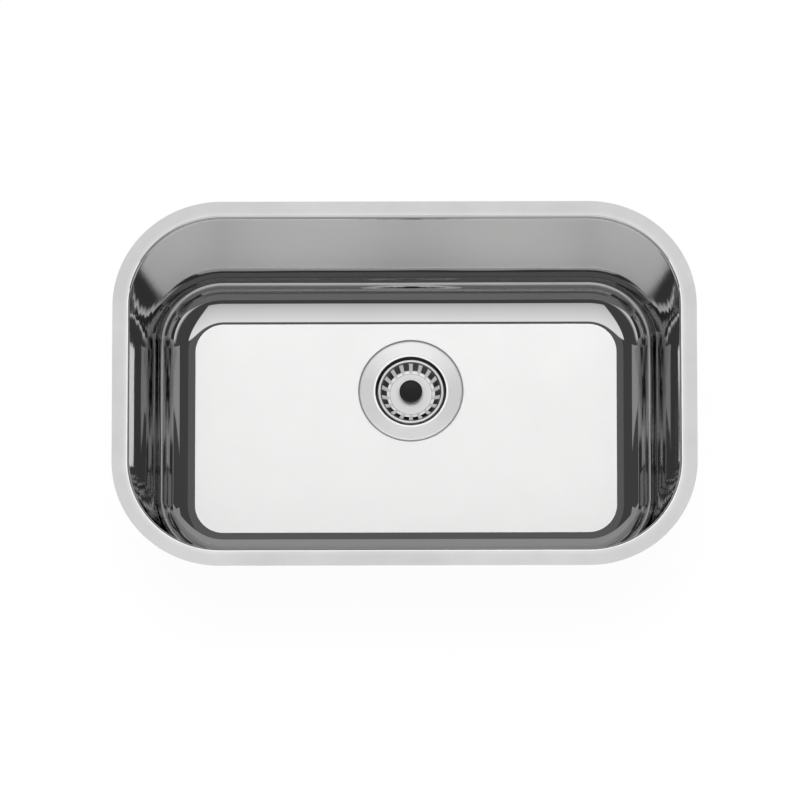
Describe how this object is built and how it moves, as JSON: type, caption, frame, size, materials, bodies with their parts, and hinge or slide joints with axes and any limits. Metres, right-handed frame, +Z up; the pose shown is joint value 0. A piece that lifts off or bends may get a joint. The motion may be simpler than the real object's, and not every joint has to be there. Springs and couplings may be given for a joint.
{
  "type": "kitchen sink",
  "caption": "Undermount single-bowl kitchen sink of drawn stainless steel with a flat flange, rounded bottom and a lift-out basket strainer that plugs the drain.",
  "frame": {"origin": "centre of the bowl's mouth, on the top face of the flange", "axes": "+X to the right along the bowl, +Y to its back edge, +Z up out of the bowl"},
  "size_m": [0.595, 0.383, 0.3162],
  "materials": {
    "bowl_steel": "satin",
    "drain_steel": "polished",
    "nut_metal": "satin",
    "tail_chrome": "polished",
    "nut_brass": "satin",
    "knob_plastic": "satin",
    "seal_plastic": "matte",
    "seal_rubber": "matte",
    "damping_rubber": "matte",
    "fibre": "matte"
  },
  "bodies": {
    "sink": {"bowl": "bowl_steel", "sound_pad_left": "damping_rubber", "sound_pad_right": "damping_rubber", "strainer_cup": "drain_steel", "flange_seal": "seal_rubber", "bowl_gasket": "seal_rubber", "friction_washer": "fibre", "lock_nut": "nut_metal", "outlet_neck": "drain_steel", "spider": "drain_steel", "tail_washer": "seal_plastic", "coupling_nut": "nut_metal", "tailpiece": "tail_chrome"},
    "basket": {"basket": "drain_steel", "knob": "knob_plastic", "post": "tail_chrome", "post_o_ring": "seal_rubber", "spacer": "seal_plastic", "stopper": "seal_rubber", "stopper_washer": "drain_steel", "stopper_nut": "nut_brass"}
  },
  "joints": [
    {"name": "basket_lift", "type": "slide", "parent": "sink", "child": "basket", "axis": [0, 0, 1], "range_m": [0, 0.245]}
  ]
}
